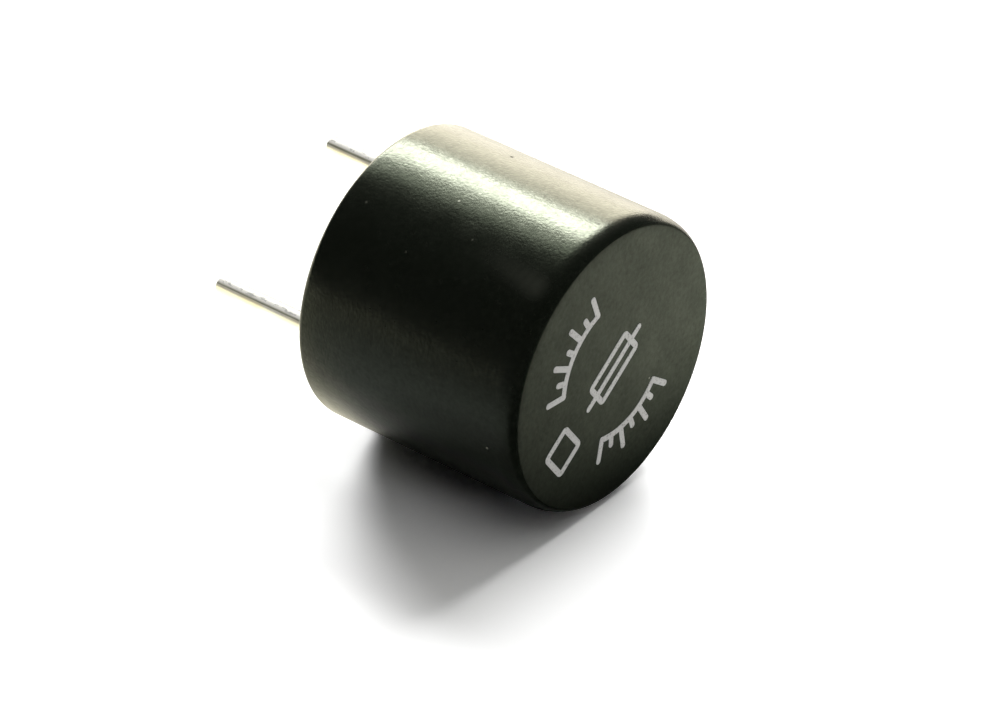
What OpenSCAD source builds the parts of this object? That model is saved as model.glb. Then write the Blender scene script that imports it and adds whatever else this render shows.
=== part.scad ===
// Radial lead fuse: a moulded cup and plug round a fuse wire on two leads, lying on its barrel.
// Millimetres. +X runs along the axis, out of the printed end, and +Z is up.
// The origin is on the axis, at the seat that the circuit board touches.

/* [Cap] */
// Outer diameter of the cap
cap_d = 8.35; // [7.8:0.05:10]
// Length of the cap, from its rim to its printed end
cap_h = 7.3; // [6:0.05:9]
// Thickness of the cap's side wall, inwards of the ledge
cap_wall = 0.75; // [0.6:0.05:0.9]
// Thickness of the cap's end wall
cap_end = 0.7; // [0.5:0.05:1.2]
// Edge round at the printed end
edge_r = 0.35; // [0.1:0.05:0.6]
// Edge round at the rim
rim_r = 0.2; // [0.05:0.05:0.3]
// Round inside the cap, where the side wall meets the end wall
corner_r = 0.3; // [0.1:0.05:0.5]
// Width of the ledge that stops the base
ledge_w = 0.25; // [0.2:0.05:0.3]

/* [Base] */
// Thickness of the base
base_t = 1.8; // [1.5:0.1:2.4]
// Gap all round between the base and the cap
base_gap = 0.02; // [0.01:0.01:0.05]
// Chamfer on the base's inner edge
base_chamfer = 0.1; // [0.05:0.05:0.15]
// Radius of the snap bead round the base
bead_r = 0.25; // [0.15:0.05:0.35]
// How far the snap bead stands out of the base
bead_out = 0.1; // [0.05:0.01:0.14]
// Distance from the rim to the middle of the snap bead
bead_in = 0.9; // [0.6:0.05:1.1]
// Height of the stand-off rib under the base
rib_h = 0.4; // [0.2:0.05:0.8]
// Width of the stand-off rib
rib_w = 1.2; // [0.8:0.1:2]
// Distance from the stand-off rib's ends to the base's edge
rib_inset = 0.7; // [0.4:0.1:1.2]
// Diameter of the boss round each lead, inside
boss_d = 1.4; // [1.1:0.1:1.6]
// Height of the bosses
boss_h = 0.6; // [0.3:0.1:1]

/* [Leads] */
// Distance between the leads' axes
lead_pitch = 5.08; // [4.6:0.01:5.2]
// Diameter of a lead
lead_d = 0.5; // [0.4:0.05:0.6]
// Length of a lead below the base
lead_free = 4.3; // [3:0.1:20]
// Chamfer on a lead's free end
lead_chamfer = 0.06; // [0.02:0.01:0.1]
// Width of the coined stretch that the base grips
coin_w = 0.7; // [0.62:0.02:0.8]
// Thickness of the coined stretch
coin_t = 0.28; // [0.2:0.02:0.36]
// Length over which a lead changes from round to coined
coin_run = 0.2; // [0.1:0.05:0.3]
// Gap round the coined stretch in its slot
coin_gap = 0.01; // [0.005:0.005:0.02]
// Turn of the pair of leads about the axis, from level
lead_turn = 25; // [0:1:90]

/* [Fuse wire] */
// Diameter of the fuse wire
wire_d = 0.12; // [0.08:0.01:0.2]
// How far the fuse wire bows
wire_bow = 0.5; // [0.3:0.05:0.8]
// Gap between the fuse wire and the cap's end wall
wire_room = 0.55; // [0.4:0.05:1]
// Diameter of a solder joint
solder_d = 0.9; // [0.8:0.05:1.1]
// Length of the solder skirt that runs down a lead
solder_skirt = 0.5; // [0.3:0.05:0.7]

/* [Hidden] */
$fn = 96;
// How far a cut runs past the surface that it opens
past = 0.1;

// Heights are measured along the axis from the board seat, where the rib ends
rim_z = rib_h;
cap_top = rim_z + cap_h;
cavity_top = cap_top - cap_end;
base_top = rim_z + base_t;
boss_top = base_top + boss_h;

cap_r = cap_d / 2;
cavity_r = cap_r - cap_wall;
seat_r = cavity_r + ledge_w;
base_r = seat_r - base_gap;
bead_centre_r = base_r + bead_out - bead_r;
rib_l = 2 * (base_r - rib_inset);

lead_x = lead_pitch / 2;
lead_end = rim_z - lead_free;
lead_top = cavity_top - wire_room - wire_bow - wire_d;
wire_bend_r = (lead_x * lead_x + wire_bow * wire_bow) / (2 * wire_bow);
wire_half_angle = asin(lead_x / wire_bend_r);
wire_ends_z = lead_top + wire_d / 2;

plastic = [0.15, 0.16, 0.14];
tin = [0.78, 0.77, 0.72];
silver = [0.9, 0.9, 0.88];
solder = [0.66, 0.67, 0.68];

// Turns what is drawn upright, with its seat at z = 0, into the way the fuse lies
module lying() {
    rotate([lead_turn, 0, 0]) rotate([0, 90, 0]) children();
}

// What a round of radius r takes off a corner at the origin, of a shape below and left of it
module corner_waste(r) {
    difference() {
        translate([-r, -r]) square(r + past);
        translate([-r, -r]) circle(r);
    }
}

// Half section of the cap, with its rim at y = 0
module cap_section() {
    difference() {
        square([cap_r, cap_h]);
        translate([cap_r, cap_h]) corner_waste(edge_r);
        translate([cap_r, 0]) mirror([0, 1]) corner_waste(rim_r);
        translate([-past, -past]) square([seat_r + past, base_t + past]);
        difference() {
            translate([-past, 0]) square([cavity_r + past, cap_h - cap_end]);
            translate([cavity_r, cap_h - cap_end]) corner_waste(corner_r);
        }
        translate([bead_centre_r + base_gap, bead_in]) circle(bead_r);
    }
}

// Cup with a ledge for the base and a groove for its snap bead
module cap() {
    color(plastic) lying()
        translate([0, 0, rim_z]) rotate_extrude() cap_section();
}

// Half section of the base's disc, with its underside at y = 0
module disc_section() {
    difference() {
        union() {
            square([base_r, base_t]);
            intersection() {
                translate([bead_centre_r, bead_in]) circle(bead_r);
                square([base_r + bead_out, base_t]);
            }
        }
        translate([base_r, base_t]) rotate(45)
            square(base_chamfer * sqrt(2), center = true);
    }
}

// Stand-off rib with round ends, across the line between the leads
module rib() {
    straight = rib_l - rib_w;
    translate([-straight / 2, -rib_w / 2, 0]) cube([straight, rib_w, rim_z]);
    for (side = [-1, 1])
        translate([side * straight / 2, 0, 0]) cylinder(d = rib_w, h = rim_z);
}

// Plug that closes the cap, with a boss and a slot for each lead
module base() {
    color(plastic) lying()
        difference() {
            union() {
                translate([0, 0, rim_z]) rotate_extrude() disc_section();
                rib();
                for (side = [-1, 1])
                    translate([0, side * lead_x, rim_z])
                        cylinder(d = boss_d, h = boss_top - rim_z);
            }
            for (side = [-1, 1])
                translate([0, side * lead_x, 0]) {
                    coined_bar(coin_gap, past);
                    rotate_extrude() wire_section(coin_gap);
                }
        }
}

// Flat bar through the base and its boss, larger all round by gap and longer at each end by extra
module coined_bar(gap, extra) {
    w = coin_w + 2 * gap;
    t = coin_t + 2 * gap;
    translate([-w / 2, -t / 2, rim_z - extra]) cube([w, t, boss_top - rim_z + 2 * extra]);
}

// Half section of a lead's wire, larger by gap, with a neck that lies inside the coined stretch
module wire_section(gap) {
    r = lead_d / 2 + gap;
    neck_r = coin_t / 4 + gap;
    polygon([
        [0, lead_end], [r - lead_chamfer, lead_end], [r, lead_end + lead_chamfer],
        [r, rim_z], [neck_r, rim_z + coin_run],
        [neck_r, boss_top - coin_run], [r, boss_top],
        [r, lead_top], [0, lead_top]
    ]);
}

// One lead, upright on its own axis: round wire, coined flat where the base grips it
module lead() {
    rotate_extrude() wire_section(0);
    coined_bar(0, 0);
}

// Leads are on the two sides of the axis, the lower one at -Y
module lead_at(side) {
    color(tin) lying()
        translate([0, side * lead_x, 0]) lead();
}

module lower_lead() {
    lead_at(-1);
}

module upper_lead() {
    lead_at(1);
}

// Wire of the given diameter on an arc from one lead's end to the other's
module wire_arc(d) {
    translate([0, 0, wire_ends_z + wire_bow - wire_bend_r]) rotate([0, -90, 0])
        rotate([0, 0, -wire_half_angle])
            rotate_extrude(angle = 2 * wire_half_angle) translate([wire_bend_r, 0]) circle(d = d);
}

module fuse_wire() {
    color(silver) lying() wire_arc(wire_d);
}

// Round bead over a lead's end, with a skirt down the lead
module solder_at(side) {
    color(solder) lying()
        difference() {
            translate([0, side * lead_x, lead_top]) {
                sphere(d = solder_d);
                translate([0, 0, -solder_skirt - solder_d / 4])
                    cylinder(d1 = lead_d + 2 * wire_d, d2 = solder_d * sin(60), h = solder_skirt);
            }
            translate([0, side * lead_x, 0]) lead();
            wire_arc(wire_d);
        }
}

module lower_solder() {
    solder_at(-1);
}

module upper_solder() {
    solder_at(1);
}

cap();
base();
lower_lead();
upper_lead();
fuse_wire();
lower_solder();
upper_solder();
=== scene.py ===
"""Radial lead fuse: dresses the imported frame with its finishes, on a white table in soft light.

The fuse lies on its barrel. X runs along its axis, out of the printed end, and Z is up.
The origin is on the axis, at the seat that the circuit board touches.
"""

import math

import bpy
import numpy as np
from bpy.props import FloatProperty, FloatVectorProperty, IntProperty, PointerProperty
from mathutils import Matrix, Vector


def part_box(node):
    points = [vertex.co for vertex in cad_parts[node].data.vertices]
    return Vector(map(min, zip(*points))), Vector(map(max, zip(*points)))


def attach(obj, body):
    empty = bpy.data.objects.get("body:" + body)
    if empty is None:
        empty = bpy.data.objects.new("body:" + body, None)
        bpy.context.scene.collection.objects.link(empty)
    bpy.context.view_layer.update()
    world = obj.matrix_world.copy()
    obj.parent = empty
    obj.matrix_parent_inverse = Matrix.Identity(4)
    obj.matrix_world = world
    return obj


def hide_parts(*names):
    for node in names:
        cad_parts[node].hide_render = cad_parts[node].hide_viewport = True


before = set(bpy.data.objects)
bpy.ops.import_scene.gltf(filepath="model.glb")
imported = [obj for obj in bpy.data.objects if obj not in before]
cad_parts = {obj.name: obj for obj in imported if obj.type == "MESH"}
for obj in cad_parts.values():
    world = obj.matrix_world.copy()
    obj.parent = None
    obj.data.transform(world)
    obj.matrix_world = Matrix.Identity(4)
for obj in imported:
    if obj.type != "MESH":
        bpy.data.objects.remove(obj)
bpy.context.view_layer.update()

bl_info = {
    "name": "Radial lead fuse",
    "version": (1, 0, 0),
    "blender": (4, 5, 0),
    "location": "View3D > Sidebar > Fuse",
    "description": "Builds a moulded radial lead fuse from its sizes",
    "category": "Add Mesh",
}

MM = 0.001

# Places that the frame fixes, in metres
RIM_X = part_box("cap")[0].x
PRINTED_END_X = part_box("cap")[1].x
LEAD_TIP_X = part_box("lower_lead")[0].x
LEAD_TOP_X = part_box("lower_lead")[1].x

# Dust on the barrel, and one painted reflection: place along X in mm, turn from +Y in degrees, radius
# in mm and strength.
# The first five are dust specks. The last eight overlap, as one faint pale streak painted as the
# reflection of a dim strip of light.
DUST_AND_REFLECTION_MARKS = (
    (3.46, 106.0, 0.035, 1.0), (3.03, 132.1, 0.03, 0.12), (4.57, 118.0, 0.03, 0.15),
    (6.81, 189.6, 0.035, 0.45), (1.18, 121.5, 0.04, 0.12),
    *((5.2 + 0.25 * k, 120.0 + 0.6 * k, 0.36, 0.012 + 0.005 * k) for k in range(8)),
)

# Small dark pit on the barrel: place, turn and radius
PIT = (3.08, 69.3, 0.06)

# Direction up and back that the leads' painted light and shade follow: the tin changes from bright to
# dull as the surface turns towards it
LIT_SIDE_AXIS = (0, 0.643, 0.766)

# Painted light and shade on the tin along that turn (a dark band for a dark reflection, a lit top,
# darker shaded copies on the far side): where each starts and is full, its colour and a factor on it
TIN_LIGHT_AND_SHADE = (
    (0.41, 0.47, "tin_painted_dark_band", 1.0), (0.51, 0.59, "tin_painted_lit_top", 1.0),
    (0.80, 0.90, "tin_painted_lit_top", 0.60), (0.89, 0.97, "tin_painted_lit_top", 0.22),
)

# Painted reflection: colours that the table shows only in the fuse's reflections, by where they lie on
# the table, with a painted shadow and painted light among them
PAINTED_MIRROR_TONES = {
    "front_far": (0.14, 0.15, 0.135), "front": (0.38, 0.40, 0.37), "front_near": (0.86, 0.84, 0.78),
    "dim": (0.30, 0.31, 0.29), "behind": (0.68, 0.64, 0.57), "shadow": (0.02, 0.025, 0.02),
    "leads_far": (0.84, 0.80, 0.60), "leads": (0.93, 0.88, 0.70), "leads_near": (1.2, 1.15, 0.90),
    "lit": (1.85, 1.90, 1.50), "lit_far": (0.25, 0.26, 0.20), "lit_behind": (0.2, 0.2, 0.16),
}

# Painted glare on the table behind, seen only in reflections: its direction, where it starts and is
# full in mm, and its strength
PAINTED_GLARE = ((-0.85, 0.53, 0), 7, 46, 3.3)

# Soft light of the world: its direction, the cosines where it starts and is full, its strength
SKY = ((-0.189, 0.694, 0.695), 0.056, 0.322, 0.454)

# Each lamp: its name, the direction to it, its strength and its apparent width in degrees
LAMPS = (
    ("window_right", (-0.074, 0.645, 0.760), 0.834, 26.5),
    ("window_left", (-0.785, 0.413, 0.461), 0.764, 20.3),
    ("window_far", (-0.658, 0.715, 0.238), 1.473, 24.5),
    ("side_fill", (0.95, 0.30, 0.08), 0.187, 10),
)

# Each reflection card: its name, its rise and lean in degrees, its colour and its strength
CARDS = (
    ("dark_ceiling", (0, 180), (-90, 90), (0.95, 1, 0.92), 0.08),
    ("pale_wall", (8, 34), (-70, -22), (1, 0.925, 0.73), 7.2),
    ("wall_foot", (0, 8), (-70, -22), (1, 0.925, 0.73), 5.8),
    ("window_glow", (58, 76), (-50, -22), (0.93, 1, 0.80), 4.0),
    ("window", (40, 58), (-50, -22), (1, 1, 0.86), 38.0),
)

# Width of the camera's sensor in mm
SENSOR_WIDTH = 36

# Angle in degrees past which an edge is sharp
CREASE = 35

# Round at the corners of the printed outlines
PRINT_CORNER = 0.08 * MM

# Length of a short tick, as a share of a long one
SHORT_TICK = 0.55


def length(name, description, default_mm):
    """A length that a user can change, given here in millimetres."""
    return FloatProperty(name=name, description=description, default=default_mm * MM,
                         min=0, precision=6, unit="LENGTH")


def angle(name, description, default_deg):
    """An angle that a user can change, given here in degrees."""
    return FloatProperty(name=name, description=description,
                         default=math.radians(default_deg), unit="ROTATION")


def amount(name, description, default):
    """A plain number that a user can change."""
    return FloatProperty(name=name, description=description, default=default, min=0, precision=4)


def tint(name, description, default):
    """A colour that a user can change."""
    return FloatVectorProperty(name=name, description=description, default=default,
                               subtype="COLOR", size=3, min=0, max=1)


class CapSizes(bpy.types.PropertyGroup):
    """Sizes of the moulded cap"""

    diameter: length("Diameter", "Outer diameter of the barrel", 8.35)
    wall: length("Wall", "Thickness of the side wall", 0.75)
    end_wall: length("End wall", "Thickness of the printed end", 0.7)
    edge_round: length("Edge round", "Round at the printed end, across the axis", 0.25)
    edge_run: length("Edge run", "Length of that round along the axis", 0.6)
    rim_round: length("Rim round", "Round at the open rim", 0.2)
    corner_round: length("Corner round", "Round inside, at the end wall", 0.3)
    ledge: length("Ledge", "Width of the ledge that stops the base", 0.25)
    seat_depth: length("Seat depth", "Depth of the ledge from the rim", 1.8)
    bead_radius: length("Bead radius", "Radius of the snap bead", 0.25)
    bead_out: length("Bead height", "How far the snap bead stands out of the base", 0.1)
    bead_in: length("Bead place", "Distance from the rim to the snap bead", 0.9)
    segments: IntProperty(name="Segments", description="Faces round the barrel", default=288, min=24)


class BaseSizes(bpy.types.PropertyGroup):
    """Sizes of the base that closes the cap"""

    gap: length("Gap", "Gap round the base", 0.02)
    chamfer: length("Chamfer", "Chamfer on the inner edge", 0.1)
    edge_round: length("Edge round", "Round on the outer edge", 0.08)
    rib_width: length("Rib width", "Width of the stand-off rib", 1.2)
    rib_inset: length("Rib inset", "Distance from the rib's ends to the edge", 0.7)
    rib_round: length("Rib round", "Round along the rib's top", 0.08)
    boss_diameter: length("Boss diameter", "Diameter of the bosses inside", 1.4)
    boss_height: length("Boss height", "Height of the bosses inside", 0.6)
    boss_round: length("Boss round", "Round on the bosses", 0.06)
    slot_gap: length("Slot gap", "Gap round each lead in its slot", 0.01)


class LeadSizes(bpy.types.PropertyGroup):
    """Sizes of the two leads"""

    pitch: length("Pitch", "Distance between the leads", 5.08)
    turn: angle("Turn", "Turn of the pair about the axis, from level", 25)
    diameter: length("Diameter", "Diameter of the drawn wire", 0.5)
    coin_width: length("Coined width", "Width where the base grips the lead", 0.7)
    coin_thickness: length("Coined thickness", "Thickness where the base grips the lead", 0.28)
    coin_run: length("Coin run", "Length over which the wire changes from round to flat", 0.2)
    tip_round: length("Tip round", "Round on the cut end", 0.05)
    tip_slant: length("Tip slant", "How far the cut end slants", 0.03)
    draw_marks: length("Draw marks", "Depth of the marks that drawing leaves along the wire", 0.002)


class PrintSizes(bpy.types.PropertyGroup):
    """Sizes of the marks printed on the end"""

    turn: angle("Turn", "Turn of the whole print about the axis", 36)
    stroke: length("Stroke", "Width of a printed line", 0.175)
    thickness: length("Ink", "Thickness of the ink", 0.008)
    symbol_length: length("Symbol length", "Length of the symbol's box", 1.75)
    symbol_width: length("Symbol width", "Width of the symbol's box", 0.8)
    symbol_reach: length("Symbol reach", "Length of the line through the box", 2.75)
    scale_radius: length("Scale radius", "Middle radius of the two scales", 2.45)
    scale_height: length("Scale height", "Length of a long tick", 0.72)
    scale_sweep: angle("Scale sweep", "Angle that a scale takes up", 66)
    scale_middle: angle("Scale middle", "Angle from the print's foot to the middle of a scale", 74)
    scale_ticks: IntProperty(name="Ticks", description="Ticks on a scale", default=7, min=2)
    mark_radius: length("Mark radius", "Distance of the small mark from the axis", 2.6)
    mark_size: length("Mark size", "Width of the small mark", 0.95)


class Finishes(bpy.types.PropertyGroup):
    """Colours and gloss of the surfaces"""

    plastic: tint("Plastic", "Body colour of the moulded plastic", (0.0036, 0.0049, 0.0031))
    plastic_sheen: tint("Plastic sheen", "Tint of the plastic's straight reflection", (0.88, 1.0, 0.84))
    # The dust colour also paints a faint pale streak on the barrel, standing for a reflection
    plastic_dust_and_reflection: tint("Dusty plastic", "Colour of the dust on the plastic", (0.36, 0.36, 0.30))
    barrel_roughness: amount("Barrel roughness", "Roughness of the polished barrel", 0.24)
    end_roughness: amount("End roughness", "Roughness of the matt printed end", 0.48)
    ink: tint("Ink", "Colour of the print", (0.43, 0.425, 0.42))
    tin: tint("Tin", "Colour of the tinned leads", (0.93, 0.91, 0.85))
    tin_warm: tint("Warm tin", "Colour where the tin is thin", (0.90, 0.84, 0.68))
    # The next two colours are painted light and shade on the leads: a dark band that stands for a dark
    # reflection, and a pale top that stands for the lit side
    tin_painted_dark_band: tint("Dark tin", "Colour of the leads in front", (0.38, 0.37, 0.27))
    tin_painted_lit_top: tint("Dull tin", "Colour of the dull skin on top of the leads", (0.97, 0.95, 0.89))
    silver: tint("Silver", "Colour of the fuse wire", (0.88, 0.87, 0.84))
    solder: tint("Solder", "Colour of the solder", (0.60, 0.61, 0.62))


class StageSettings(bpy.types.PropertyGroup):
    """Camera, lamps and the studio round the fuse"""

    lens: amount("Lens", "Focal length on a 36 mm wide sensor", 232.99)
    azimuth: angle("Azimuth", "Camera's turn from the -Y side towards +X", 39.205)
    elevation: angle("Elevation", "Camera's height above level", 34.525)
    distance: length("Distance", "Camera's distance from what it aims at", 172.362)
    aim: FloatVectorProperty(name="Aim", description="Point that the camera looks at",
                             default=(3.262 * MM, 0.764 * MM, -2.200 * MM),
                             precision=6, unit="LENGTH", size=3)
    light: amount("Light", "Strength of all the lamps together", 1.0)
    studio: length("Studio", "Radius of the studio", 1000)


def settings():
    """The scene, which holds every property group."""
    return bpy.context.scene


def arc(centre, radius, start, stop, steps=8):
    """Points (centre + radius cos t, centre + radius sin t), for t from start to stop in degrees."""
    t = np.radians(np.linspace(start, stop, steps + 1))
    return np.column_stack([centre[0] + radius * np.cos(t), centre[1] + radius * np.sin(t)])


def signed_volume(vertices, triangles):
    """A sixth of the sum of a . (b x c) over the triangles: positive where they face outwards."""
    a, b, c = (vertices[triangles[:, k]] for k in range(3))
    return np.einsum("ij,ij->", a, np.cross(b, c)) / 6


def loft(rings, start, stop):
    """Closed surface through rings of points, as vertices and faces.

    Point (i, j) of the grid is point j of ring i, and j wraps round. Each end closes in a fan
    at the point start or stop. The faces are turned round if the volume they enclose is negative.
    """
    rows, columns = rings.shape[:2]
    vertices = np.vstack([rings.reshape(-1, 3), start, stop])
    i, j = np.meshgrid(np.arange(rows - 1), np.arange(columns), indexing="ij")
    here = (i * columns + j).ravel()
    beside = (i * columns + (j + 1) % columns).ravel()
    quads = np.column_stack([here, beside, beside + columns, here + columns])
    around = np.arange(columns)
    after = (around + 1) % columns
    last = (rows - 1) * columns
    first_fan = np.column_stack([after, around, np.full(columns, rows * columns)])
    last_fan = np.column_stack([last + around, last + after, np.full(columns, rows * columns + 1)])
    triangles = np.vstack([quads[:, :3], quads[:, [0, 2, 3]], first_fan, last_fan])
    if signed_volume(vertices - vertices.mean(0), triangles) < 0:
        quads, first_fan, last_fan = quads[:, ::-1], first_fan[:, ::-1], last_fan[:, ::-1]
    return vertices, quads.tolist() + first_fan.tolist() + last_fan.tolist()


def revolve(profile, segments):
    """Surface of revolution about the X axis, from a profile of (x, r) that starts and ends on it.

    Point (i, j) is (x_i, r_i cos a_j, r_i sin a_j), with the angles a_j evenly round the circle.
    """
    a = np.linspace(0, 2 * np.pi, segments, endpoint=False)
    x, r = profile[1:-1, 0, None], profile[1:-1, 1, None]
    rings = np.stack([x + 0 * a, r * np.cos(a), r * np.sin(a)], axis=-1)
    return loft(rings, [profile[0, 0], 0, 0], [profile[-1, 0], 0, 0])


def shift(surface, y, z):
    """The same surface, moved across the axis."""
    vertices, faces = surface
    return vertices + np.array([0, y, z]), faces


def across(distance, turn):
    """Y and Z of the point at that distance from the axis and at that turn from +Y towards +Z."""
    return distance * math.cos(turn), distance * math.sin(turn)


def join(surfaces):
    """Several surfaces as one list of vertices and one of faces."""
    vertices, faces, count = [], [], 0
    for points, polygons in surfaces:
        vertices.append(points)
        faces += [[count + k for k in polygon] for polygon in polygons]
        count += len(points)
    return np.vstack(vertices), faces


def make_mesh(name, surface, crease=CREASE):
    """A smooth mesh from vertices and faces, with sharp edges where it turns by more than crease."""
    vertices, faces = surface
    mesh = bpy.data.meshes.new(name)
    mesh.from_pydata(vertices.tolist(), [], faces)
    mesh.validate()
    mesh.shade_smooth()
    mesh.set_sharp_from_angle(angle=math.radians(crease))
    mesh.update()
    return mesh


def new_object(name, data):
    """An object in the scene, at the origin."""
    thing = bpy.data.objects.new(name, data)
    bpy.context.scene.collection.objects.link(thing)
    return thing


def make_piece(name, mesh, materials, body="root"):
    """An object at the origin that rides on the fuse's body."""
    piece = new_object(name, mesh)
    for material in materials:
        mesh.materials.append(material)
    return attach(piece, body)


class Tree:
    """A short way to write a node tree: add() makes a node, and sets or links its inputs."""

    def __init__(self, owner):
        owner.use_nodes = True
        self.nodes = owner.node_tree.nodes
        self.links = owner.node_tree.links
        self.nodes.clear()

    def add(self, kind, inputs=None, **settings_of_node):
        node = self.nodes.new(kind)
        for key, value in settings_of_node.items():
            setattr(node, key, value)
        for key, value in (inputs or {}).items():
            if isinstance(value, bpy.types.NodeSocket):
                self.links.new(value, node.inputs[key])
            else:
                node.inputs[key].default_value = value
        return node

    def noise(self, place, scale, detail=2.0, roughness=0.5):
        """Noise from 0 to 1 at that many waves a metre."""
        node = self.add("ShaderNodeTexNoise",
                        {"Vector": place, "Scale": scale, "Detail": detail, "Roughness": roughness})
        return node.outputs["Fac"]

    def spread(self, value, low, high, to_low=0.0, to_high=1.0, smooth=False):
        """The value's range from low to high, carried to another range and held there."""
        node = self.add("ShaderNodeMapRange",
                        {"Value": value, "From Min": low, "From Max": high,
                         "To Min": to_low, "To Max": to_high})
        if smooth:
            node.interpolation_type = "SMOOTHSTEP"
        return node.outputs["Result"]

    def math(self, operation, a, b=0.0):
        return self.add("ShaderNodeMath", {0: a, 1: b}, operation=operation).outputs["Value"]

    def vector_math(self, operation, a, b):
        return self.add("ShaderNodeVectorMath", {0: a, 1: b}, operation=operation).outputs["Value"]

    def relief(self, height, depth):
        """Normals of a relief that is as deep as given where the height goes from 0 to 1."""
        node = self.add("ShaderNodeBump", {"Strength": 1.0, "Distance": depth, "Height": height})
        return node.outputs["Normal"]

    def blend(self, factor, a, b):
        """Colour a where the factor is 0 and colour b where it is 1."""
        node = self.add("ShaderNodeMix", data_type="RGBA")
        for key, value in ((0, factor), (6, a), (7, b)):
            if isinstance(value, bpy.types.NodeSocket):
                self.links.new(value, node.inputs[key])
            else:
                node.inputs[key].default_value = value
        return node.outputs[2]

    def place(self, stretch=(1, 1, 1)):
        """Object coordinates, stretched along each axis."""
        coordinates = self.add("ShaderNodeTexCoord").outputs["Object"]
        node = self.add("ShaderNodeMapping", {"Vector": coordinates, "Scale": stretch})
        return node.outputs["Vector"]


def new_material(name):
    """A material and its empty node tree."""
    material = bpy.data.materials.new(name)
    return material, Tree(material)


def opaque(colour):
    """A colour with its alpha."""
    return (*colour, 1.0)


def finish_material(tree, shader):
    """Joins the shader to the material's output."""
    tree.add("ShaderNodeOutputMaterial", {"Surface": shader})


def solid_finish(tree, inputs):
    """Ends the tree in one shader for a solid surface, with those inputs."""
    finish_material(tree, tree.add("ShaderNodeBsdfPrincipled", inputs).outputs["BSDF"])


def dust_and_painted_reflection(tree, place):
    """How much dust lies at a place, with a painted reflection: a fine haze, random specks, and the
    marks on the barrel, of which a faint streak is a painted reflection.

    The specks lie in about one cell in five of a pattern with 900 cells a metre.
    """
    cells = tree.add("ShaderNodeTexVoronoi", {"Vector": place, "Scale": 900, "Randomness": 1.0})
    specks = tree.spread(cells.outputs["Distance"], 0.05, 0.03)
    chosen = tree.spread(tree.math("FRACT", tree.math("MULTIPLY", cells.outputs["Color"], 7.0)),
                         0.78, 0.8)
    haze = tree.spread(tree.noise(place, 7000, 3, 0.7), 0.45, 0.75, 0.0, 0.012)
    total = tree.math("MAXIMUM", haze, tree.math("MULTIPLY", specks, chosen))
    for x, turn, radius, strength in DUST_AND_REFLECTION_MARKS:
        mark = tree.spread(distance_to_mark(tree, place, x, turn),
                           1.6 * radius * MM, 0.0, 0.0, strength, smooth=True)
        total = tree.math("MAXIMUM", total, mark)
    return total


def distance_to_mark(tree, place, x, turn):
    """Distance from a place to the point of the barrel at x, in mm, and turn, in degrees."""
    centre = (x * MM, *across(settings().fuse_cap.diameter / 2, math.radians(turn)))
    return tree.vector_math("DISTANCE", place, centre)


def moulded_plastic(name, roughness, grain, sheen):
    """Olive black moulded plastic: fine grain, a mottled gloss, dust, a faint painted reflection on the
    barrel and one small pit.

    Grain is the height of the fine relief, and sheen how far the gloss varies.
    """
    finishes = settings().fuse_finishes
    material, tree = new_material(name)
    place = tree.place()
    fine = tree.noise(place, 12000, 2, 0.6)
    coarse = tree.noise(place, 1400, 2)
    streaks = tree.noise(tree.place((60, 1500, 1500)), 1.0, 2)
    gloss = tree.spread(tree.math("ADD", streaks, coarse), 0.7, 1.3,
                        roughness - sheen, roughness + sheen)
    height = tree.math("ADD", tree.math("MULTIPLY", fine, 0.65), tree.math("MULTIPLY", coarse, 0.5))
    mottle = tree.spread(tree.noise(place, 6500, 3, 0.7), 0.3, 0.7, 0.38, 0.62)
    x, turn, radius = PIT
    level = tree.math("MULTIPLY", mottle, tree.spread(
        distance_to_mark(tree, place, x, turn), 0.6 * radius * MM, 1.2 * radius * MM))
    # Dust, and a faint streak painted as a reflection, lighten the plastic here
    colour = tree.blend(dust_and_painted_reflection(tree, place), opaque(finishes.plastic), opaque(finishes.plastic_dust_and_reflection))
    solid_finish(tree, {
        "Base Color": colour, "Roughness": gloss, "IOR": 1.35, "Normal": tree.relief(height, grain),
        "Specular IOR Level": level, "Specular Tint": opaque(finishes.plastic_sheen)})
    return material


def drawn_metal(name, colour, warm, roughness, along):
    """Bright metal: patches of a warmer colour, and streaks in gloss and relief.

    Along is how many streaks a metre there are along each axis.
    """
    material, tree = new_material(name)
    streaks = tree.noise(tree.place(along), 1.0, 3, 0.7)
    patches = tree.noise(tree.place(), 1500, 2)
    tone = tree.blend(tree.spread(patches, 0.35, 0.65), opaque(colour), opaque(warm))
    gloss = tree.spread(streaks, 0.3, 0.7, roughness * 0.7, roughness * 1.3)
    solid_finish(tree, {"Base Color": tone, "Metallic": 1.0, "Roughness": gloss,
                        "Normal": tree.relief(streaks, 0.004 * MM)})
    return material


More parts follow.
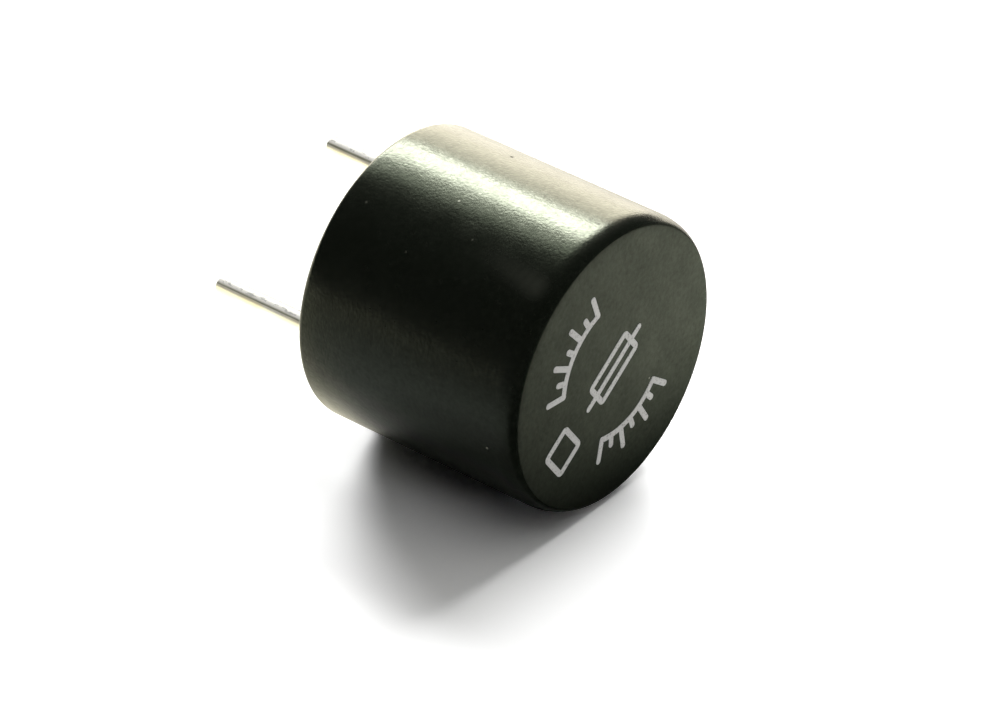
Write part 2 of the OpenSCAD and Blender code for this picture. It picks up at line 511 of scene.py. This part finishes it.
def tinned_wire(name):
    """Tinned wire with painted light and shade: bright metal below, a painted dark band that stands for
    a dark reflection, and above it a pale top painted as lit, not metal, with grey specks.

    The turn goes from 0, where the surface faces down and forward, to 1 on the far side, where the
    painted top is darker, as painted shade.
    """
    finishes = settings().fuse_finishes
    material, tree = new_material(name)
    streaks = tree.noise(tree.place((150, 9000, 9000)), 1.0, 3, 0.7)
    normal = tree.add("ShaderNodeNewGeometry").outputs["Normal"]
    turn = tree.spread(tree.vector_math("DOT_PRODUCT", normal, LIT_SIDE_AXIS), -1, 1)
    tone = tree.blend(tree.spread(tree.noise(tree.place(), 1500), 0.35, 0.65),
                      opaque(finishes.tin), opaque(finishes.tin_warm))
    # Painted light and shade: the colour follows which way the surface faces, and the metal gives way
    # to a dull painted top
    for start, full, skin, factor in TIN_LIGHT_AND_SHADE:
        colour = [factor * c for c in getattr(finishes, skin)]
        tone = tree.blend(tree.spread(turn, start, full), tone, opaque(colour))
    specks = tree.spread(tree.noise(tree.place((5000, 12000, 12000)), 1.0, 2, 0.6),
                         0.54, 0.62, 0.0, 0.55)
    specks = tree.math("MULTIPLY", specks, tree.spread(turn, 0.55, 0.65))
    tone = tree.blend(specks, tone, opaque([0.3 * c for c in finishes.tin_painted_lit_top]))
    solid_finish(tree, {
        "Base Color": tone, "Metallic": tree.spread(turn, 0.28, 0.44, 1.0, 0.0),
        "Roughness": tree.spread(streaks, 0.3, 0.7, 0.3, 0.5), "Specular IOR Level": 0.2,
        "Normal": tree.relief(streaks, 0.004 * MM)})
    return material


def printed_ink(name):
    """Pale grey ink, thin and grainy, with dark pinholes."""
    finishes = settings().fuse_finishes
    material, tree = new_material(name)
    grain = tree.noise(tree.place(), 14000, 3, 0.7)
    cover = tree.spread(grain, 0.34, 0.44)
    colour = tree.blend(cover, opaque([0.35 * c for c in finishes.ink]), opaque(finishes.ink))
    solid_finish(tree, {"Base Color": colour, "Roughness": 0.6,
                        "Normal": tree.relief(grain, 0.002 * MM)})
    return material


def bead_arc(sizes, wall_radius):
    """Arc in (x, r) of the snap bead's circle, where it stands out of a wall of that radius."""
    centre = (RIM_X + sizes.bead_in, wall_radius + sizes.bead_out - sizes.bead_radius)
    reach = math.degrees(math.acos((wall_radius - centre[1]) / sizes.bead_radius))
    return arc(centre, sizes.bead_radius, 90 + reach, 90 - reach, 10)


def cap_profile(sizes):
    """Half section of the cap in (x, r), from the middle of the printed end to the middle inside.

    The edge of the printed end is a quarter ellipse and each other round a quarter circle. The
    groove is the arc of the snap bead's own circle.
    """
    outer = sizes.diameter / 2
    cavity = outer - sizes.wall
    seat = cavity + sizes.ledge
    ledge_x = RIM_X + sizes.seat_depth
    inside_x = PRINTED_END_X - sizes.end_wall
    edge, run = sizes.edge_round, sizes.edge_run
    rim, corner = sizes.rim_round, sizes.corner_round
    base_gap = settings().fuse_base.gap
    face = [(PRINTED_END_X, r) for r in np.linspace(0, outer - edge, 24)]
    ellipse = arc((0, 0), 1, 0, 90, 20) * [run, edge] + [PRINTED_END_X - run, outer - edge]
    barrel = [(x, outer) for x in np.linspace(PRINTED_END_X - run, RIM_X + rim, 14)]
    return np.vstack([
        face,
        ellipse[1:-1],
        barrel,
        arc((RIM_X + rim, outer - rim), rim, 90, 180, 8)[1:],
        [(RIM_X, seat + base_gap), (RIM_X + base_gap, seat)],
        bead_arc(sizes, seat),
        [(ledge_x, seat), (ledge_x, cavity)],
        arc((inside_x - corner, cavity - corner), corner, 90, 0, 8),
        [(inside_x, cavity / 2), (inside_x, 0)],
    ])


class FUSE_OT_cap(bpy.types.Operator):
    """Make the cap: a revolved cup, polished on the barrel and matt on the printed end"""

    bl_idname = "fuse.cap"
    bl_label = "Cap"

    def execute(self, context):
        sizes, finishes = context.scene.fuse_cap, context.scene.fuse_finishes
        mesh = make_mesh("cap_skin", revolve(cap_profile(sizes), sizes.segments), crease=50)
        barrel = moulded_plastic("polished_plastic", finishes.barrel_roughness,
                                 grain=0.008 * MM, sheen=0.03)
        matt = moulded_plastic("matt_plastic", finishes.end_roughness, grain=0.004 * MM, sheen=0.04)
        piece = make_piece("cap_skin", mesh, [barrel, matt])
        middles = np.empty(3 * len(mesh.polygons))
        mesh.polygons.foreach_get("center", middles)
        on_end = middles.reshape(-1, 3)[:, 0] > PRINTED_END_X - 0.01 * MM
        mesh.polygons.foreach_set("material_index", on_end.astype(np.int32))
        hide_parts("cap")
        return {"FINISHED"}


def base_radius(cap, base):
    """Radius of the base's disc, which leaves the gap to the wall outside the ledge."""
    return cap.diameter / 2 - cap.wall + cap.ledge - base.gap


def boss_top_x():
    """Where the bosses end inside, along X."""
    return RIM_X + settings().fuse_cap.seat_depth + settings().fuse_base.boss_height


def disc_profile(cap, base):
    """Half section of the base's disc in (x, r), from the middle outside to the middle inside."""
    radius = base_radius(cap, base)
    top_x = RIM_X + cap.seat_depth
    edge = base.edge_round
    return np.vstack([
        [(RIM_X, r) for r in np.linspace(0, radius - edge, 12)],
        arc((RIM_X + edge, radius - edge), edge, 180, 90, 6)[1:],
        bead_arc(cap, radius),
        [(top_x - base.chamfer, radius), (top_x, radius - base.chamfer), (top_x, 0)],
    ])


def rib_surface(length_of_rib, width, low_x, high_x, edge, turn):
    """Stadium-shaped block, rounded where it meets the board, across the line between the leads.

    Ring i is the stadium's outline drawn in by s_i at x_i, which follow a quarter circle at the
    low end. The outline is two half circles, set apart by the straight part of the rib.
    """
    straight = (length_of_rib - width) / 2
    turns = np.linspace(0, 2 * np.pi, 96, endpoint=False)
    # The tiny number keeps a cosine of zero on one side
    side = np.sign(np.cos(turns) + 1e-9)
    quarter = np.radians(np.linspace(0, 90, 7))
    levels = [(low_x + edge * (1 - math.sin(q)), edge * (1 - math.cos(q))) for q in quarter[::-1]]
    rings = []
    for x, drawn_in in levels + [(high_x, 0.0)]:
        r = width / 2 - drawn_in
        u = side * straight + r * np.cos(turns)
        v = r * np.sin(turns)
        y = -u * math.sin(turn) + v * math.cos(turn)
        z = u * math.cos(turn) + v * math.sin(turn)
        rings.append(np.column_stack([np.full_like(u, x), y, z]))
    return loft(np.array(rings), [low_x, 0, 0], [high_x, 0, 0])


def box_surface(low_x, high_x, width, thickness, y, z, turn):
    """Rectangular block along X about the point (y, z), as wide as given at right angles to turn.

    Each ring is the rectangle's four corners, turned about the X axis and moved to that point.
    """
    corners = np.array([(-1, -1), (1, -1), (1, 1), (-1, 1)]) * [thickness / 2, width / 2]
    c, s = math.cos(turn), math.sin(turn)
    points = np.column_stack([y + corners[:, 0] * c - corners[:, 1] * s,
                              z + corners[:, 0] * s + corners[:, 1] * c])
    rings = np.array([np.column_stack([np.full(4, x), points]) for x in (low_x, high_x)])
    return loft(rings, [low_x, y, z], [high_x, y, z])


def work_object(name, surface):
    """A linked object in millimetres, for a boolean."""
    vertices, faces = surface
    mesh = bpy.data.meshes.new(name)
    mesh.from_pydata((vertices / MM).tolist(), [], faces)
    return new_object(name, mesh)


def carve(solid, others):
    """The mesh of solid after a boolean with each (surface, operation), worked in millimetres."""
    body = work_object("work_body", solid)
    tools = [body]
    for surface, operation in others:
        tool = work_object("work_tool", surface)
        tools.append(tool)
        modifier = body.modifiers.new("carve", "BOOLEAN")
        modifier.operation, modifier.solver, modifier.object = operation, "EXACT", tool
    graph = bpy.context.evaluated_depsgraph_get()
    mesh = bpy.data.meshes.new_from_object(body.evaluated_get(graph))
    for tool in tools:
        bpy.data.objects.remove(tool)
    mesh.transform(Matrix.Scale(MM, 4))
    mesh.shade_smooth()
    mesh.set_sharp_from_angle(angle=math.radians(CREASE))
    return mesh


def wire_profile(sizes, start, stop, grown=0.0):
    """Half section of a lead's wire in (x, r), with a neck inside the stretch that is coined flat."""
    boss_top = boss_top_x()
    r = sizes.diameter / 2 + grown
    neck = sizes.coin_thickness / 4 + grown
    return [(start, r), (RIM_X, r), (RIM_X + sizes.coin_run, neck),
            (boss_top - sizes.coin_run, neck), (boss_top, r), (stop, r)]


def coined_bar(sizes, grown=0.0, past=0.0):
    """Start and stop along X, width and thickness of a lead's flat stretch."""
    return (RIM_X - past, boss_top_x() + past,
            sizes.coin_width + 2 * grown, sizes.coin_thickness + 2 * grown)


class FUSE_OT_base(bpy.types.Operator):
    """Make the base: a disc with a snap bead, a stand-off rib, two bosses and two slots"""

    bl_idname = "fuse.base"
    bl_label = "Base"

    def execute(self, context):
        cap, base = context.scene.fuse_cap, context.scene.fuse_base
        leads, finishes = context.scene.fuse_leads, context.scene.fuse_finishes
        radius = base_radius(cap, base)
        inside = RIM_X + cap.seat_depth / 2
        boss_top = boss_top_x()
        parts = [(rib_surface(2 * (radius - base.rib_inset), base.rib_width, 0.0, inside,
                              base.rib_round, leads.turn), "UNION")]
        boss_r = base.boss_diameter / 2
        boss = np.vstack([
            [(inside, 0), (inside, boss_r), (boss_top - base.boss_round, boss_r)],
            arc((boss_top - base.boss_round, boss_r - base.boss_round), base.boss_round, 90, 0, 4)[1:],
            [(boss_top, 0)],
        ])
        past = 0.1 * MM
        places = [across(side * leads.pitch / 2, leads.turn) for side in (-1, 1)]
        for place in places:
            parts.append((shift(revolve(boss, 64), *place), "UNION"))
        hole = wire_profile(leads, RIM_X - past, boss_top + past, base.slot_gap)
        hole = np.vstack([[(hole[0][0], 0)], hole, [(hole[-1][0], 0)]])
        bar = coined_bar(leads, base.slot_gap, past)
        for place in places:
            parts.append((box_surface(*bar, *place, leads.turn), "DIFFERENCE"))
            parts.append((shift(revolve(hole, 64), *place), "DIFFERENCE"))
        mesh = carve(revolve(disc_profile(cap, base), 192), parts)
        mesh.name = "base_plug"
        plastic = moulded_plastic("base_plastic", finishes.barrel_roughness + 0.12,
                                  grain=0.003 * MM, sheen=0.04)
        piece = make_piece("base_plug", mesh, [plastic])
        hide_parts("base")
        return {"FINISHED"}


def lead_surface(sizes, side, seed):
    """One lead's wire, as rings carried along X: ring i is a circle of radius r_i at x_i.

    Fine furrows run along the free stretch, as a sum of cosines of the turn with fixed random
    phases. The cut end is rounded and slants a little.
    """
    radius = sizes.diameter / 2
    edge = sizes.tip_round
    quarter = np.radians(np.linspace(0, 90, 7))
    tip = [(LEAD_TIP_X + edge * (1 - math.sin(q)), radius - edge * (1 - math.cos(q)))
           for q in quarter[::-1]]
    free = [(x, radius) for x in np.linspace(LEAD_TIP_X + 2 * edge, RIM_X, 40)[:-1]]
    stations = np.array(tip + free + wire_profile(sizes, RIM_X - edge, LEAD_TOP_X)[1:])
    x, r = stations[:, 0, None], stations[:, 1, None]
    turns = np.linspace(0, 2 * np.pi, 64, endpoint=False)
    random = np.random.default_rng(seed)
    waves = np.array([9, 14, 21, 30])
    furrows = np.cos(np.outer(waves, turns) + random.uniform(0, 2 * np.pi, (4, 1))).sum(0) / 4
    grown = r + furrows * sizes.draw_marks * (x < RIM_X - edge)
    p, q = grown * np.cos(turns), grown * np.sin(turns)
    slant = sizes.tip_slant * np.clip(1 - (x - LEAD_TIP_X) / (4 * edge), 0, 1)
    along = x + slant * (1 + p / radius) / 2
    y0, z0 = across(side * sizes.pitch / 2, sizes.turn)
    ct, st = math.cos(sizes.turn), math.sin(sizes.turn)
    rings = np.stack([along, y0 + p * ct - q * st, z0 + p * st + q * ct], axis=-1)
    return loft(rings, [LEAD_TIP_X + sizes.tip_slant / 2, y0, z0], [LEAD_TOP_X, y0, z0])


class FUSE_OT_leads(bpy.types.Operator):
    """Make the two leads: drawn and tinned wire, coined flat where the base grips it"""

    bl_idname = "fuse.leads"
    bl_label = "Leads"

    def execute(self, context):
        sizes = context.scene.fuse_leads
        tin = tinned_wire("tinned_wire")
        for name, side, seed in (("lower_lead", -1, 4), ("upper_lead", 1, 9)):
            place = across(side * sizes.pitch / 2, sizes.turn)
            bar = box_surface(*coined_bar(sizes), *place, sizes.turn)
            mesh = carve(lead_surface(sizes, side, seed), [(bar, "UNION")])
            mesh.name = name + "_wire"
            piece = make_piece(name + "_wire", mesh, [tin])
            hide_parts(name)
        return {"FINISHED"}


class FUSE_OT_element(bpy.types.Operator):
    """Finish the wire that melts and its two solder joints, inside the cap"""

    bl_idname = "fuse.element"
    bl_label = "Fuse wire and solder"

    def execute(self, context):
        finishes = context.scene.fuse_finishes
        silver = drawn_metal("silvered_wire", finishes.silver, finishes.silver, 0.18,
                             (2000, 2000, 2000))
        grey = drawn_metal("solder_grey", finishes.solder, [0.85 * c for c in finishes.solder], 0.34,
                           (3000, 3000, 3000))
        for name, material in (("fuse_wire", silver), ("lower_solder", grey), ("upper_solder", grey)):
            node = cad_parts[name]
            node.data.materials.clear()
            node.data.materials.append(material)
        return {"FINISHED"}


def stroke(path, width, thickness, x, closed=False):
    """A printed line of ink: a flat bar with round ends along a path of (y, z).

    Ring i is the rectangle across the path there. Its half width is the stroke's, drawn in near
    each end as the half chord of a circle.
    """
    path = np.asarray(path, float)
    if closed:
        before, after = np.roll(path, 1, 0), np.roll(path, -1, 0)
    else:
        before, after = np.vstack([path[:1], path[:-1]]), np.vstack([path[1:], path[-1:]])
    ahead = after - before
    ahead /= np.linalg.norm(ahead, axis=1)[:, None]
    sideways = np.column_stack([-ahead[:, 1], ahead[:, 0]])
    half = np.full(len(path), width / 2)
    if not closed:
        run = np.concatenate([[0], np.cumsum(np.linalg.norm(np.diff(path, axis=0), axis=1))])
        from_end = np.clip(np.minimum(run, run[-1] - run), 0, width / 2)
        half = np.sqrt((width / 2) ** 2 - (width / 2 - from_end) ** 2) + 0.01 * width
    left, right = path + sideways * half[:, None], path - sideways * half[:, None]
    low, high = np.full((len(path), 1), x - thickness), np.full((len(path), 1), x + thickness)
    rings = np.stack([np.hstack([low, left]), np.hstack([high, left]),
                      np.hstack([high, right]), np.hstack([low, right])], axis=1)
    if not closed:
        return loft(rings, rings[0].mean(0), rings[-1].mean(0))
    return ring_of(rings)


def ring_of(rings):
    """Closed tube through rings of points, where the last ring joins the first."""
    rows, columns = rings.shape[:2]
    i, j = np.meshgrid(np.arange(rows), np.arange(columns), indexing="ij")
    here, beside = i * columns + j, i * columns + (j + 1) % columns
    onward = ((i + 1) % rows) * columns
    quads = np.stack([here, beside, onward + (j + 1) % columns, onward + j], axis=-1).reshape(-1, 4)
    vertices = rings.reshape(-1, 3)
    triangles = np.vstack([quads[:, :3], quads[:, [0, 2, 3]]])
    if signed_volume(vertices - vertices.mean(0), triangles) < 0:
        quads = quads[:, ::-1]
    return vertices, quads.tolist()


def rounded_box(half_length, half_width, corner):
    """Outline of a rectangle with round corners, as four quarter circles."""
    centres = [(half_length - corner, half_width - corner), (corner - half_length, half_width - corner),
               (corner - half_length, corner - half_width), (half_length - corner, corner - half_width)]
    return np.vstack([arc(centre, corner, 90 * k, 90 * k + 90, 5) for k, centre in enumerate(centres)])


def line(start, stop, steps=24):
    """Points from start to stop, closer together near the ends."""
    t = (1 - np.cos(np.linspace(0, np.pi, steps)))[:, None] / 2
    return np.asarray(start) + t * (np.asarray(stop) - np.asarray(start))


def turned(points, turn):
    """Points (u cos t - v sin t, u sin t + v cos t), with u along the print's upright."""
    c, s = math.cos(turn), math.sin(turn)
    return np.column_stack([points[:, 0] * c - points[:, 1] * s, points[:, 0] * s + points[:, 1] * c])


def scale_strokes(sizes, side):
    """A plain dial scale: an arc with long and short ticks, on one side of the print."""
    inner = sizes.scale_radius - sizes.scale_height / 2
    middle = math.pi - side * sizes.scale_middle
    angles = middle + np.linspace(-0.5, 0.5, sizes.scale_ticks) * sizes.scale_sweep
    sweep = np.degrees([angles[0], angles[-1]])
    start = inner - sizes.stroke / 2
    strokes = [arc((0, 0), inner, *sweep, 48)]
    for k, a in enumerate(angles):
        reach = sizes.scale_height * (1.0 if k % 2 == 0 else SHORT_TICK)
        ray = np.array([math.cos(a), math.sin(a)])
        strokes.append(line(ray * start, ray * (inner + reach)))
    return strokes


class FUSE_OT_print(bpy.types.Operator):
    """Print plain marks on the end: the drawing symbol for a fuse, two dial scales and a square"""

    bl_idname = "fuse.print_marks"
    bl_label = "Print"

    def execute(self, context):
        sizes = context.scene.fuse_print
        x, width, ink = PRINTED_END_X, sizes.stroke, sizes.thickness
        box = rounded_box(sizes.symbol_length / 2, sizes.symbol_width / 2, PRINT_CORNER)
        reach = sizes.symbol_reach / 2
        through = line((-reach, 0), (reach, 0), 40)
        half = sizes.mark_size / 2
        mark = np.array([-sizes.mark_radius, 0]) + rounded_box(half, half, PRINT_CORNER)
        # Strokes that cross differ a little in thickness, so their tops are never in one plane
        surfaces = [
            stroke(turned(box, sizes.turn), width, ink, x, closed=True),
            stroke(turned(through, sizes.turn), width, 1.2 * ink, x),
            stroke(turned(mark, sizes.turn), width, ink, x, closed=True),
        ]
        for side in (-1, 1):
            for k, path in enumerate(scale_strokes(sizes, side)):
                surfaces.append(stroke(turned(path, sizes.turn), width, (1 + 0.02 * k) * ink, x))
        mesh = make_mesh("print_marks", join(surfaces))
        make_piece("print_marks", mesh, [printed_ink("printed_ink")])
        return {"FINISHED"}


def glow(name, colour, strength):
    """A plain light of one colour."""
    material, tree = new_material(name)
    shader = tree.add("ShaderNodeEmission", {"Color": opaque(colour), "Strength": strength})
    finish_material(tree, shader.outputs["Emission"])
    return material


def studio_card(name, rise, lean, colour, strength, distance):
    """A card round the fuse that only shows in its reflections.

    Rise is a pair of angles about the X axis, from level behind over the top, and lean a pair from
    the YZ plane towards +X. The point is distance (sin l, cos l cos r, cos l sin r).
    """
    side = 25
    r, l = np.meshgrid(*(np.radians(np.linspace(*pair, side)) for pair in (rise, lean)))
    points = distance * np.stack([np.sin(l), np.cos(l) * np.cos(r), np.cos(l) * np.sin(r)], axis=-1)
    i, j = np.meshgrid(np.arange(side - 1), np.arange(side - 1), indexing="ij")
    here = (i * side + j).ravel()
    faces = np.column_stack([here, here + 1, here + side + 1, here + side]).tolist()
    mesh = bpy.data.meshes.new(name)
    mesh.from_pydata(points.reshape(-1, 3).tolist(), [], faces)
    mesh.materials.append(glow(name, colour, strength))
    card = new_object(name, mesh)
    card.visible_camera = False
    card.visible_diffuse = False
    card.visible_shadow = False
    card.visible_transmission = False


def floor_material():
    """White table top with painted reflections: in reflections alone it shows the painted colours
    listed above.

    In front they are dark, but bright near the fuse and under the leads, and behind it there is a
    painted glare. Past the printed end they are a painted shadow of the fuse, then painted light, then
    duller.
    """
    material, tree = new_material("white_table")
    rays = tree.add("ShaderNodeLightPath").outputs
    place = tree.add("ShaderNodeTexCoord").outputs["Object"]
    x, y = tree.add("ShaderNodeSeparateXYZ", {"Vector": place}).outputs[:2]
    hue = {name: opaque(colour) for name, colour in PAINTED_MIRROR_TONES.items()}

    def band(value, low, high):
        """From 0 to 1 as the value goes from low to high, in millimetres."""
        return tree.spread(value, low * MM, high * MM)

    def slanted(slope):
        """X less that share of Y."""
        return tree.math("SUBTRACT", x, tree.math("MULTIPLY", y, slope))

    front = tree.blend(band(y, -34, -8), hue["front_far"], hue["front"])
    front = tree.blend(band(y, -6.5, -2.8), front, hue["front_near"])
    dim = tree.math("MULTIPLY", band(x, 0.8, 2.6), band(y, -10, -7.5))
    front = tree.blend(dim, front, hue["dim"])
    leads = tree.blend(band(y, -12, -6), hue["leads_far"], hue["leads"])
    leads = tree.blend(band(y, -6, -3), leads, hue["leads_near"])
    front = tree.blend(band(slanted(0.666), 3.5, 1.5), front, leads)
    along = tree.blend(band(y, 0, 8), front, hue["behind"])
    lit = tree.blend(band(slanted(0.6), 6, 12.5), hue["lit"], hue["lit_far"])
    lit = tree.blend(band(y, 13, 18), lit, hue["lit_behind"])
    beyond = tree.blend(band(x, 8.6, 10.9), hue["shadow"], lit)
    ahead = tree.blend(band(y, -3.5, -0.5), hue["shadow"], beyond)
    past_end = tree.math("GREATER_THAN", x, PRINTED_END_X)
    # Painted reflection: the table's colour in reflections is set by place on the table
    painted_mirror = tree.blend(past_end, along, ahead)
    seen = tree.blend(rays["Is Camera Ray"], (0.9, 0.9, 0.88, 1), (1.2, 1.2, 1.2, 1))
    top = tree.blend(rays["Is Glossy Ray"], seen, painted_mirror)
    table = tree.add("ShaderNodeBsdfDiffuse", {"Color": top}).outputs["BSDF"]
    axis, start, full, strength = PAINTED_GLARE
    behind = tree.spread(tree.vector_math("DOT_PRODUCT", place, axis),
                         start * MM, full * MM, 0.0, strength)
    glare = tree.math("MULTIPLY", behind, tree.math("GREATER_THAN", rays["Is Glossy Ray"], past_end))
    shine = tree.add("ShaderNodeEmission", {"Color": (1, 0.925, 0.74, 1), "Strength": glare})
    both = tree.add("ShaderNodeAddShader", {0: table, 1: shine.outputs["Emission"]})
    finish_material(tree, both.outputs["Shader"])
    return material


def make_floor(level, half):
    """A square table top at that height."""
    corners = [(-half, -half, level), (half, -half, level), (half, half, level), (-half, half, level)]
    mesh = bpy.data.meshes.new("floor")
    mesh.from_pydata(corners, [], [(0, 1, 2, 3)])
    mesh.materials.append(floor_material())
    new_object("floor", mesh)


def make_world():
    """White to the camera and in reflections, and elsewhere a soft light from above and behind."""
    world = bpy.data.worlds.new("soft_studio")
    tree = Tree(world)
    rays = tree.add("ShaderNodeLightPath").outputs
    shown = tree.math("MAXIMUM", rays["Is Camera Ray"],
                      tree.math("MAXIMUM", rays["Is Glossy Ray"], rays["Is Transmission Ray"]))
    direction = tree.add("ShaderNodeTexCoord").outputs["Generated"]
    axis, start, full, strength = SKY
    toward = tree.vector_math("DOT_PRODUCT", direction, axis)
    soft = tree.add("ShaderNodeBackground", {
        "Color": (1, 1, 0.98, 1), "Strength": tree.spread(toward, start, full, 0.0, strength)})
    white = tree.add("ShaderNodeBackground", {"Color": (1, 1, 1, 1), "Strength": 1.0})
    mixed = tree.add("ShaderNodeMixShader", {0: shown, 1: soft.outputs[0], 2: white.outputs[0]})
    tree.add("ShaderNodeOutputWorld", {"Surface": mixed.outputs["Shader"]})
    bpy.context.scene.world = world


def make_camera(stage):
    """Camera at its distance from the aim, along (sin a cos e, -cos a cos e, sin e)."""
    a, e = stage.azimuth, stage.elevation
    back = Vector((math.sin(a) * math.cos(e), -math.cos(a) * math.cos(e), math.sin(e)))
    data = bpy.data.cameras.new("camera")
    data.lens, data.sensor_width = stage.lens, SENSOR_WIDTH
    data.clip_start, data.clip_end = MM, 10
    camera = new_object("camera", data)
    camera.location = Vector(stage.aim) + back * stage.distance
    camera.rotation_mode = "QUATERNION"
    camera.rotation_quaternion = back.to_track_quat("Z", "Y")
    bpy.context.scene.camera = camera


def make_lamp(name, direction, strength, spread):
    """A distant lamp in that direction, as wide as spread in degrees, that no surface mirrors.

    A white surface that faces it shines with the strength given.
    """
    data = bpy.data.lights.new(name, "SUN")
    data.energy, data.angle = math.pi * strength, math.radians(spread)
    lamp = new_object(name, data)
    lamp.rotation_mode = "QUATERNION"
    lamp.rotation_quaternion = Vector(direction).to_track_quat("Z", "Y")
    lamp.visible_glossy = False


class FUSE_OT_stage(bpy.types.Operator):
    """Set the stage: white table, soft light, reflection cards and the camera"""

    bl_idname = "fuse.stage"
    bl_label = "Stage"

    def execute(self, context):
        stage = context.scene.fuse_stage
        make_floor(-context.scene.fuse_cap.diameter / 2, stage.studio)
        make_world()
        for name, direction, strength, spread in LAMPS:
            make_lamp(name, direction, stage.light * strength, spread)
        make_camera(stage)
        for k, (name, rise, lean, colour, strength) in enumerate(CARDS):
            studio_card(name, rise, lean, colour, strength, (1 - 0.02 * k) * stage.studio)
        context.scene.view_settings.view_transform = "Standard"
        return {"FINISHED"}


class FUSE_PT_sidebar(bpy.types.Panel):
    """Sizes and finishes of the fuse, with a button for each piece"""

    bl_idname = "FUSE_PT_sidebar"
    bl_label = "Radial lead fuse"
    bl_space_type = "VIEW_3D"
    bl_region_type = "UI"
    bl_category = "Fuse"

    def draw(self, context):
        for group, operators in PARTS:
            box = self.layout.box()
            for operator in operators:
                box.operator(operator.bl_idname)
            values = getattr(context.scene, group)
            for name in values.__annotations__:
                box.prop(values, name)


# Property groups by the name that the scene holds them under
GROUPS = {
    "fuse_cap": CapSizes,
    "fuse_base": BaseSizes,
    "fuse_leads": LeadSizes,
    "fuse_print": PrintSizes,
    "fuse_finishes": Finishes,
    "fuse_stage": StageSettings,
}

# Each box in the sidebar: its property group and its operators
PARTS = (
    ("fuse_cap", (FUSE_OT_cap,)),
    ("fuse_base", (FUSE_OT_base,)),
    ("fuse_leads", (FUSE_OT_leads,)),
    ("fuse_finishes", (FUSE_OT_element,)),
    ("fuse_print", (FUSE_OT_print,)),
    ("fuse_stage", (FUSE_OT_stage,)),
)
OPERATORS = [operator for _, operators in PARTS for operator in operators]


def register():
    for group in GROUPS.values():
        bpy.utils.register_class(group)
    for operator in [*OPERATORS, FUSE_PT_sidebar]:
        bpy.utils.register_class(operator)
    for name, group in GROUPS.items():
        setattr(bpy.types.Scene, name, PointerProperty(type=group))


def unregister():
    for name in GROUPS:
        delattr(bpy.types.Scene, name)
    for kind in [FUSE_PT_sidebar, *reversed(OPERATORS), *reversed(GROUPS.values())]:
        bpy.utils.unregister_class(kind)


def main():
    register()
    bpy.ops.fuse.cap()
    bpy.ops.fuse.base()
    bpy.ops.fuse.leads()
    bpy.ops.fuse.element()
    bpy.ops.fuse.print_marks()
    bpy.ops.fuse.stage()


if __name__ == "__main__":
    main()
